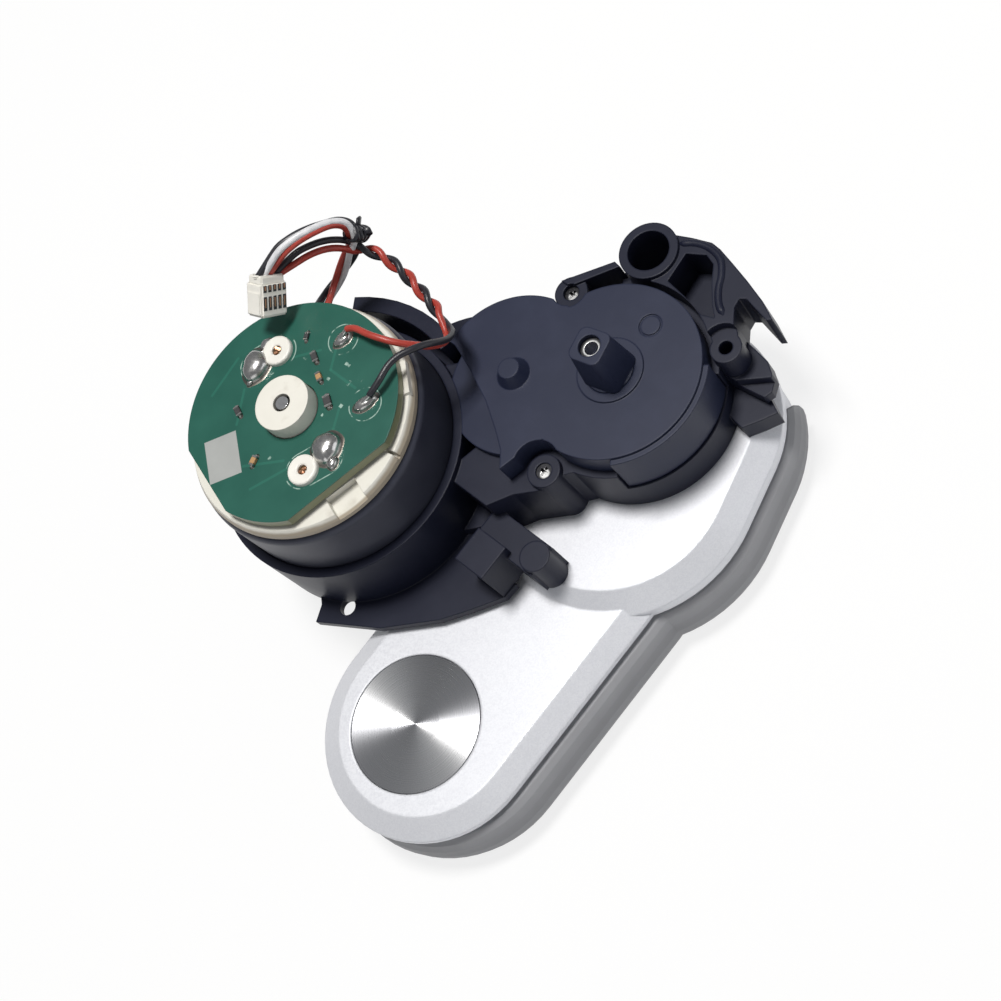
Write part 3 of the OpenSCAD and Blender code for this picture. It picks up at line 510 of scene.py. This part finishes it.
def greenBoard():
    f = Finish("greenBoard", (0.011, 0.115, 0.08), 0.34)
    x, y, z = f.axes()
    cloud = f.noise(210, 3)
    shade = f.mix(cloud, (0.007, 0.074, 0.054), (0.012, 0.112, 0.08))
    for start, end in boardMarks["traces"]:
        line = 1 - f.band(awayFromLine(x, y, start, end), 0.16, 0.24)
        shade = f.mix(line * 0.3, shade, (0.025, 0.20, 0.14))
    rings = [awayFrom(x, y, at) - radius for at, radius in boardMarks["padRings"]]
    rings += [awayFromLine(x, y, start, end) - boardMarks["tabRing"] for start, end in boardMarks["tabPairs"]]
    marks = [1 - f.band(ring.maths("ABSOLUTE"), 0.04, 0.11) for ring in rings]
    for at, wide, high in boardMarks["ticks"]:
        sideways, upwards = (x - at[0]).maths("ABSOLUTE") - wide / 2, (y - at[1]).maths("ABSOLUTE") - high / 2
        marks.append(1 - f.band(greatest([sideways, upwards]), -0.03, 0.06))
    printed = greatest(marks)
    top = f.band(z, boardMarks["top"] - 0.2, boardMarks["top"] - 0.05)
    # Patches where the print is rubbed away
    toneMask = f.band(f.noise(700, 3), 0.44, 0.56)
    shade = f.mix(printed * top * toneMask * 0.65, shade, (0.50, 0.66, 0.58))
    patch = boardMarks["patch"]
    dx, dy = x - patch["centre"][0], y - patch["centre"][1]
    alongX, alongY = patch["along"]
    sides = zip((dx * alongX + dy * alongY, dy * alongX - dx * alongY), patch["half"])
    bare = (1 - greatest([f.band(side.maths("ABSOLUTE") - half, 0.0, 0.1) for side, half in sides])) * top
    shade = f.mix(bare, shade, f.mix(cloud, (0.30, 0.31, 0.30), (0.40, 0.41, 0.40)))
    f.feed("Base Color", f.mix(1 - top, shade, (0.16, 0.17, 0.09)))
    f.feed("Roughness", 0.3 + bare * 0.25 + cloud * 0.08)
    f.bump(printed * 0.4 + cloud * 0.3, 0.15, 0.03, 0.12)
    return f


def meltedSolder():
    # Bright on top, with brown flux round its foot that is partly real flux and partly painted dark
    # reflection
    f = Finish("meltedSolder", (0.82, 0.81, 0.79), 0.16, {"Metallic": 1.0})
    x, y, z = f.axes()
    lumps, fine = f.noise(420, 3), f.noise(2600, 3)
    # Dark brown foot: real flux, and painted dark reflection low on the blob
    flux = 1 - f.band(z + lumps * 0.5, boardMarks["top"] + 0.1, boardMarks["top"] + 0.9)
    bright = f.mix(fine, (0.42, 0.41, 0.40), (0.74, 0.73, 0.71))
    f.feed("Base Color", f.mix(flux * 0.85, bright, (0.10, 0.075, 0.05)))
    f.feed("Roughness", 0.16 + fine * 0.14 + flux * 0.2)
    f.bump(lumps, 0.5, 0.12)
    return f


def leadSkin(name, colour):
    f = Finish(name, colour, 0.38)
    marks = f.noise(900, 3)
    pale = tuple(min(1, part * 1.25 + 0.004) for part in colour)
    f.feed("Base Color", f.mix(marks, darker(colour), pale))
    f.feed("Roughness", 0.3 + marks * 0.18)
    f.bump(marks, 0.12, 0.03)
    return f


blackPlastic = mouldedPlastic("blackPlastic", (0.0105, 0.0125, 0.027), 0.40, 0.32, gloss=0.24)
coverPlastic = mouldedPlastic("coverPlastic", (0.016, 0.0205, 0.046), 0.42, 0.3, gloss=0.27)
gearPlastic = mouldedPlastic("gearPlastic", (0.72, 0.70, 0.62), 0.4, 0.1)
creamPlastic = mouldedPlastic("creamPlastic", (0.78, 0.76, 0.70), 0.42, 0.2, 0.6)
screwMetal = plainMetal("screwMetal", (0.84, 0.83, 0.80), 0.26)
brightSteel = plainMetal("brightSteel", (0.86, 0.86, 0.87), 0.2)
warmBrass = plainMetal("warmBrass", (0.80, 0.62, 0.34), 0.28)
oiledBronze = plainMetal("oiledBronze", (0.52, 0.38, 0.24), 0.42)
# Near black for the rear bush: some oil, and painted shade of the bore round the shaft
oilAndShadeBlack = plainMetal("oilAndShadeBlack", (0.045, 0.043, 0.042), 0.35)
copperWire = plainMetal("copperWire", (0.78, 0.42, 0.26), 0.34)
paintedSteel = plainMetal("paintedSteel", (0.40, 0.42, 0.45), 0.45)
fluxBrown = mouldedPlastic("fluxBrown", (0.13, 0.075, 0.03), 0.25, 0.1)
chipTan = mouldedPlastic("chipTan", (0.42, 0.24, 0.10), 0.45, 0.06)
chipBlack = mouldedPlastic("chipBlack", (0.03, 0.03, 0.032), 0.5, 0.06)
ferriteGrey = mouldedPlastic("ferriteGrey", (0.10, 0.10, 0.11), 0.6, 0.2)
carbonBlack = mouldedPlastic("carbonBlack", (0.03, 0.03, 0.03), 0.55, 0.1)
tieBlack = leadSkin("tieBlack", (0.012, 0.012, 0.018))
solderSkin = meltedSolder()

paint(blackPlastic, "gear_housing", "well_cover")
paint(coverPlastic, "brush_shaft_gear", "gear_cover")
paint(silverPaint(), "base_shell")
paint(softBumper(), "base_bumper")
paint(turnedMetal((55.6, 0.6)), "spun_disc")
paint(darkCan(), "motor_can")
paint(bellCream(), "end_bell")
paint(gearPlastic, "idler_gear", "first_gear")
paint(screwMetal, "well_screws", "base_screws", "motor_screws")
# Cover screws and shaft insert: painted glint with painted recess shade round it
paint(sunkMetal("sunkScrews", [(-6.2, -13.6), (16.6, -0.1)], 0.62), "cover_screws")
paint(sunkMetal("sunkInsert", [(0.0, 0.0)], 1.12), "shaft_insert")
paint(brightSteel, "motor_shaft", "idler_pin", "first_pin")
paint(warmBrass, "motor_pinion", "brush_springs")
paint(oiledBronze, "front_bush")
# Rear bush: painted shade of the bore round the shaft, with some oil
paint(oilAndShadeBlack, "rear_bush")
paint(copperWire, "rotor_windings", "commutator")
paint(paintedSteel, "rotor_core")
paint(ferriteGrey, "magnets")
paint(carbonBlack, "carbon_brushes")
paint(greenBoard(), "circuit_board")
print("finishes made")


def piece(name, mesh, finishes, slot, *stands, smooth=False):
    data = meshData(name, mesh)
    for finish in finishes:
        data.materials.append(finish.material)
    if smooth:
        data.shade_smooth()
    made = addObject(name, data)
    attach(made, "drive_body")
    if stands:
        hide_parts(*stands)
    return made


def lathe(mesh, profile, turns, place, shape=None, material=0):
    # Rows of points round an axis; shape may change each point before it is placed
    rows = []
    for radius, height in profile:
        row = []
        for k in range(turns):
            a = 2 * math.pi * k / turns
            x, y, z = radius * math.cos(a), radius * math.sin(a), height
            if shape:
                x, y, z = shape(x, y, z, a)
            row.append(mesh.verts.new(mm(place @ Vector((x, y, z)))))
        rows.append(row)
    for low, high in zip(rows, rows[1:]):
        for k in range(turns):
            face = mesh.faces.new((low[k], low[(k + 1) % turns], high[(k + 1) % turns], high[k]))
            face.material_index = material


def once(things):
    # Each thing a single time, in its first place
    return list(dict.fromkeys(things))


def block(mesh, size, place, bevel=0.08, material=0):
    # A box with bevelled edges
    verts = bmesh.ops.create_cube(mesh, size=1.0)["verts"]
    bmesh.ops.scale(mesh, vec=Vector(size), verts=verts)
    for face in once(f for v in verts for f in v.link_faces):
        face.material_index = material
    edges = once(e for v in verts for e in v.link_edges)
    bent = bmesh.ops.bevel(mesh, geom=edges, offset=bevel, segments=2, affect="EDGES", material=-1)
    for vert in once([v for f in bent["faces"] for v in f.verts] + [v for v in verts if v.is_valid]):
        vert.co = mm(place @ vert.co)


solderSet = {
    # Each blob's place, half widths, height, turn and a number for its lumps
    "blobs": [
        ((29.3, -40.3), (2.35, 2.1), 1.75, 20, 1), ((25.9, -41.3), (0.8, 1.1), 0.7, 60, 2),
        ((31.6, -39.3), (0.7, 0.5), 0.5, 0, 3), ((32.5, -21.3), (2.3, 2.15), 1.8, 70, 4),
        ((33.6, -18.9), (1.0, 0.7), 0.7, 10, 5), ((18.9, -31.0), (1.5, 0.95), 0.85, -20, 6),
        ((24.3, -20.9), (1.75, 1.0), 0.95, -27, 7),
    ],
    "profile": [(1.22, 0.0), (1.1, 0.04), (1.02, 0.14), (0.98, 0.34), (0.91, 0.55), (0.78, 0.75),
                (0.58, 0.9), (0.34, 0.98), (0.12, 1.0), (0.002, 1.0)],
    "bareEnds": {"redEnd": (18.9, -31.0), "blackEnd": (24.3, -20.9)},
}


def lumpy(lump):
    def shape(x, y, z, a):
        swell = (1 + 0.07 * math.sin(2 * a + lump) + 0.045 * math.sin(3 * a + 2.3 * lump)
                 + 0.02 * math.sin(7 * a + lump))
        return x * swell, y * swell, z * (1 + 0.10 * math.sin(a + 1.7 * lump) * (1 - z))
    return shape


solder = bmesh.new()
for at, (halfLong, halfWide), height, turn, lump in solderSet["blobs"]:
    place = moved(*at, boardMarks["top"]) @ turned(turn) @ Matrix.Diagonal((halfLong, halfWide, height, 1))
    lathe(solder, solderSet["profile"], 40, place, lumpy(lump))
# The bared ends of the two motor wires run into their solder
for name, pad in solderSet["bareEnds"].items():
    foot = Vector((*pad, boardMarks["top"] + 0.7))
    reach = Vector(leadRoutes[name][-1]) - foot
    profile = [(0.5, 0), (0.36, reach.length * 0.5), (0.3, reach.length + 0.3)]
    lathe(solder, profile, 16, Matrix.Translation(foot) @ facing(reach))
piece("solderBlobs", solder, [solderSkin], "solder", "solder_joints", smooth=True)

tabSet = {
    "places": [((25.75, -38.85), 200), ((36.86, -22.05), 20)],
    "ring": [(0.72, -0.2), (0.72, 0.5), (0.8, 0.62), (0.95, 0.7), (1.9, 0.78), (2.15, 0.72), (2.28, 0.55),
             (2.32, 0.3), (2.34, 0.0)],
    "flux": [(0.75, 0.1), (0.4, 0.2), (0.002, 0.24)],
}
tabs = bmesh.new()
for (x, y), turn in tabSet["places"]:
    place = moved(x, y, boardMarks["top"])
    lathe(tabs, tabSet["ring"], 48, place)
    lathe(tabs, tabSet["flux"], 24, place, material=2)
    spin = place @ turned(turn)
    block(tabs, (0.5, 1.1, 0.5), spin @ moved(0.32, 0, 0.35) @ Matrix.Rotation(0.4, 4, "X"), 0.1, 1)
    block(tabs, (0.35, 0.7, 0.4), spin @ moved(-0.3, 0.15, 0.3) @ Matrix.Rotation(0.7, 4, "Z"), 0.08, 1)
piece("brushTabs", tabs, [creamPlastic, copperWire, fluxBrown], "cream_plastic", "brush_tabs")

# Small parts of the board: place, size, turn and body finish (0 black, 1 tan)
chipSet = [
    ((23.3, -32.9), (1.7, 0.95, 0.55), 62, 0), ((25.2, -30.0), (1.5, 0.85, 0.6), 62, 1),
    ((27.2, -26.2), (1.9, 1.15, 0.55), 58, 0), ((36.0, -37.7), (1.6, 0.9, 0.55), 68, 0),
    ((40.1, -29.9), (1.5, 0.85, 0.6), 15, 1), ((21.6, -36.4), (1.2, 0.7, 0.45), 30, 0),
]
chips = bmesh.new()
for (x, y), (long, wide, high), turn, body in chipSet:
    place = moved(x, y, boardMarks["top"] + high / 2 + 0.02) @ turned(turn)
    fillet = [(0.72, -high / 2 - 0.02), (0.6, -high / 2 + 0.05), (0.3, 0.02), (0.002, 0.03)]
    block(chips, (long * 0.62, wide * 0.96, high), place, 0.06, body)
    for side in (-1, 1):
        block(chips, (long * 0.2, wide, high + 0.04), place @ moved(side * long * 0.4, 0, 0), 0.07, 2)
        foot = place @ moved(side * long * 0.55, 0, 0) @ Matrix.Diagonal((0.55, wide * 0.62, 1, 1))
        lathe(chips, fillet, 16, foot, material=2)
piece("boardChips", chips, [chipBlack, chipTan, solderSkin], "chip_black", "board_parts")

# Cover: the part's cover with its lobe carried out to the wall of the idler's room
coverSet = {
    "idler": (7.9415, -12.3702), "lobe": 12.3, "rim": 9.2, "low": 24.0, "top": 28.0,
    "motor": (31.3, -30.5), "sleeve": 20.15, "boss": (-6.4, -13.9), "bossRoom": 2.52,
    "main": 12.2, "rightEdge": 9.3,
}


def cylinder(name, at, radius, low, high):
    mesh = bmesh.new()
    bmesh.ops.create_cone(mesh, cap_ends=True, segments=128, radius1=radius * 0.001, radius2=radius * 0.001,
                          depth=(high - low) * 0.001, matrix=Matrix.Translation(mm((*at, (low + high) / 2))))
    return addObject(name, meshData(name, mesh))


def carve(target, operation, tool):
    step = target.modifiers.new(operation.lower(), "BOOLEAN")
    step.operation, step.object, step.solver = operation, tool, "EXACT"
    solid = bpy.data.meshes.new_from_object(target.evaluated_get(bpy.context.evaluated_depsgraph_get()))
    target.modifiers.clear()
    target.data = solid
    bpy.data.objects.remove(tool)


lobeRing = cylinder("lobeRing", coverSet["idler"], coverSet["lobe"], coverSet["low"], coverSet["top"])
for at, radius in ((coverSet["idler"], coverSet["rim"]), (coverSet["motor"], coverSet["sleeve"]),
                   (coverSet["boss"], coverSet["bossRoom"]), ((0, 0), coverSet["main"])):
    carve(lobeRing, "DIFFERENCE", cylinder("cutter", at, radius, 20, 32))
cutter = bmesh.new()
bmesh.ops.create_cube(cutter, size=0.06, matrix=Matrix.Translation(mm((coverSet["rightEdge"] + 30, -12, 26))))
carve(lobeRing, "DIFFERENCE", addObject("cutter", meshData("cutter", cutter)))
widerCover = addObject("widerCover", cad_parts["gear_cover"].data.copy())
carve(widerCover, "UNION", lobeRing)
widerCover.data.materials.clear()
widerCover.data.materials.append(coverPlastic.material)
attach(widerCover, "drive_body")
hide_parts("gear_cover")

# Hook bracket: the floor of its pocket and the lip that stands along the hook
bracketSet = {
    "floor": [(-19.9, -3.2), (-21.4, 0.2), (-20.9, 2.7), (-18.0, 4.6), (-15.4, 6.8), (-13.7, 8.0),
              (-12.9, 5.8), (-13.8, 1.6), (-14.2, -2.6)],
    "floorHeights": (20.3, 21.3),
    "lip": [(-20.3, -4.4), (-21.6, -2.2), (-22.0, 0.2), (-21.4, 2.6), (-19.6, 4.3), (-17.6, 5.4),
            (-15.9, 6.9), (-14.9, 8.6)],
    "lipHeight": 27.2, "lipRadius": 0.6,
}
bracket = bmesh.new()
floor = bracketSet["floor"]
low, high = ([bracket.verts.new(mm((x, y, z))) for x, y in floor] for z in bracketSet["floorHeights"])
bracket.faces.new(high)
bracket.faces.new(list(reversed(low)))
for k in range(len(floor)):
    after = (k + 1) % len(floor)
    bracket.faces.new((low[k], low[after], high[after], high[k]))
lip = smoothRun([(x, y, bracketSet["lipHeight"]) for x, y in bracketSet["lip"]], 0.35)
tapers = [min(1, 0.35 + i * 0.3, 0.35 + (len(lip) - 1 - i) * 0.3) for i in range(len(lip))]
sweep(bracket, lip, [bracketSet["lipRadius"] * taper for taper in tapers])
piece("hookBracket", bracket, [blackPlastic], "black_plastic")

# Plug: a bevelled shell with a collar, a row of windows with the terminals in them, and an open far end
plug = bmesh.new()
wide, deep, long = plugSet["size"]
block(plug, (wide, deep, long - 1.1), plugFrame @ moved(0, 0, -0.5), 0.28)
block(plug, (wide - 0.5, deep - 0.6, 1.3), plugFrame @ moved(0, 0, long / 2 - 0.7), 0.2)
socketRim = [(0.62, long / 2 - 0.2), (0.56, long / 2 + 0.06), (0.5, long / 2 + 0.04), (0.5, long / 2 - 0.5)]
for k in range(plugSet["wires"]):
    lathe(plug, socketRim, 20, plugFrame @ moved(acrossRow(k), 0, 0))
    for low, high in plugSet["windows"]:
        window = plugFrame @ moved(acrossRow(k), -deep / 2, (low + high) / 2)
        block(plug, (0.6, 0.1, high - low), window, 0.04, 1)
        block(plug, (0.3, 0.12, (high - low) * 0.7), window @ moved(0, -0.02, 0.1), 0.05, 2)
for side in (-1, 1):
    block(plug, (0.35, deep * 0.8, 3.4), plugFrame @ moved(side * wide / 2, 0, -1.0), 0.14)
piece("leadPlug", plug, [creamPlastic, chipBlack, copperWire], "cream_plastic", "lead_plug")

# Tie: turns of black tape pulled tight round the leads, with its two cut ends
tieSet = {
    "at": (5.5, -39.6, 41.2), "along": (0.42, 0.18, 0.89), "turns": 4, "wide": 0.86,
    "ends": [((4.3, -39.8, 42.2), 25), ((4.7, -38.4, 41.4), -30)],
}


def pulled(k):
    def shape(x, y, z, a):
        pull = 1 + 0.07 * math.sin(2 * a + 1.3 * k) + 0.05 * math.sin(3 * a - k)
        return x * pull * 1.1, y * pull * 0.92, z + 0.22 * math.sin(a + 0.6 * k)
    return shape


tie = bmesh.new()
tieAt = Vector(tieSet["at"])
tieFrame = Matrix.Translation(tieAt) @ facing(Vector(tieSet["along"]).normalized())
for k in range(tieSet["turns"]):
    z0 = -1.5 + k * tieSet["wide"]
    profile = [(0.95, z0 + 0.05), (1.28, z0), (1.42, z0 + 0.24), (1.45, z0 + 0.5), (1.36, z0 + 0.78),
               (0.95, z0 + tieSet["wide"])]
    lathe(tie, profile, 32, tieFrame, pulled(k))
for tip, turn in tieSet["ends"]:
    out = (Vector(tip) - tieAt).normalized()
    block(tie, (0.5, 1.2, 1.9), Matrix.Translation(tieAt + out * 1.5) @ facing(out) @ turned(turn), 0.12)
piece("leadTie", tie, [tieBlack], "lead_black", "lead_tie", smooth=True)
print("board and lead pieces made")

wireLooks = {
    "red": (leadSkin("redSkin", (0.40, 0.045, 0.03)), "lead_red"),
    "black": (leadSkin("blackSkin", (0.016, 0.016, 0.022)), "lead_black"),
    "white": (leadSkin("whiteSkin", (0.72, 0.72, 0.74)), "cream_plastic"),
}
for name, wire in wireObjects.items():
    skin, slot = next(look for colour, look in wireLooks.items() if name.startswith(colour))
    wire.data.materials.append(skin.material)

# A pale floor that looks white to the camera and in metal, and keeps the object's shadow
stageSet = {
    "reach": 3.0, "drop": 0.0002, "floorColour": (0.92, 0.92, 0.92), "floorGlow": 0.8,
    "worldColour": (0.95, 0.97, 1.0, 1), "worldStrength": 0.24,
    "farColour": (0.84, 0.84, 0.84, 1),  # what the floor looks like far away
    "lookAt": (28, -10, 15),
    "lamps": {
        "key": {"from": (-0.42, 0.50, 0.80), "far": 0.62, "size": 0.15, "watts": 3.4,
                "colour": (1, 0.985, 0.96)},
        "side": {"from": (0.85, 0.15, 0.62), "far": 0.7, "size": 0.4, "watts": 0.45,
                 "colour": (0.95, 0.97, 1)},
        "low": {"from": (-0.1, -0.85, 0.6), "far": 0.7, "size": 0.4, "watts": 0.3,
                "colour": (1, 1, 1)},
    },
}
reach, drop = stageSet["reach"], stageSet["drop"]
floorMesh = bpy.data.meshes.new("paleFloor")
corners = [(-reach, -reach, -drop), (reach, -reach, -drop), (reach, reach, -drop), (-reach, reach, -drop)]
floorMesh.from_pydata(corners, [], [(0, 1, 2, 3)])
paleFloor = addObject("paleFloor", floorMesh)
floorFinish = Finish("floorFinish", stageSet["floorColour"], 0.9)
seenBy = [floorFinish.node("ShaderNodeLightPath", output=f"Is {ray} Ray")
          for ray in ("Camera", "Glossy", "Transmission")]
glow = floorFinish.node("ShaderNodeEmission", None, {"Color": (1, 1, 1, 1), "Strength": 1.0})
floorFinish.show(floorFinish.node("ShaderNodeMixShader", None, {
    0: greatest(seenBy) * stageSet["floorGlow"], 1: Value(floorFinish, floorFinish.skin.outputs[0]), 2: glow,
}), "Material Output")
paleFloor.data.materials.append(floorFinish.material)

world = bpy.data.worlds.new("studio")
scene.world = world
world.use_nodes = True
sky = Nodes(world.node_tree)
light = sky.tree.nodes["Background"]
light.inputs["Color"].default_value = stageSet["worldColour"]
light.inputs["Strength"].default_value = stageSet["worldStrength"]
backdrop = sky.node("ShaderNodeBackground", None, {"Color": stageSet["farColour"]})
seenByCamera = sky.node("ShaderNodeLightPath", output="Is Camera Ray")
sky.show(sky.node("ShaderNodeMixShader", None, {
    0: seenByCamera, 1: Value(sky, light.outputs[0]), 2: backdrop}), "World Output")

for name, lamp in stageSet["lamps"].items():
    data = bpy.data.lights.new(name, "AREA")
    data.shape, data.size, data.energy, data.color = "DISK", lamp["size"], lamp["watts"], lamp["colour"]
    side, high, near = lamp["from"]
    towards = Vector(shot["right"]) * side + Vector(shot["up"]) * high - Vector(shot["forward"]) * near
    towards = towards.normalized()
    lampObject = addObject(name, data)
    lampObject.location = mm(stageSet["lookAt"]) + towards * lamp["far"]
    lampObject.rotation_euler = (-towards).to_track_quat("-Z", "Y").to_euler()
print("stage lit")
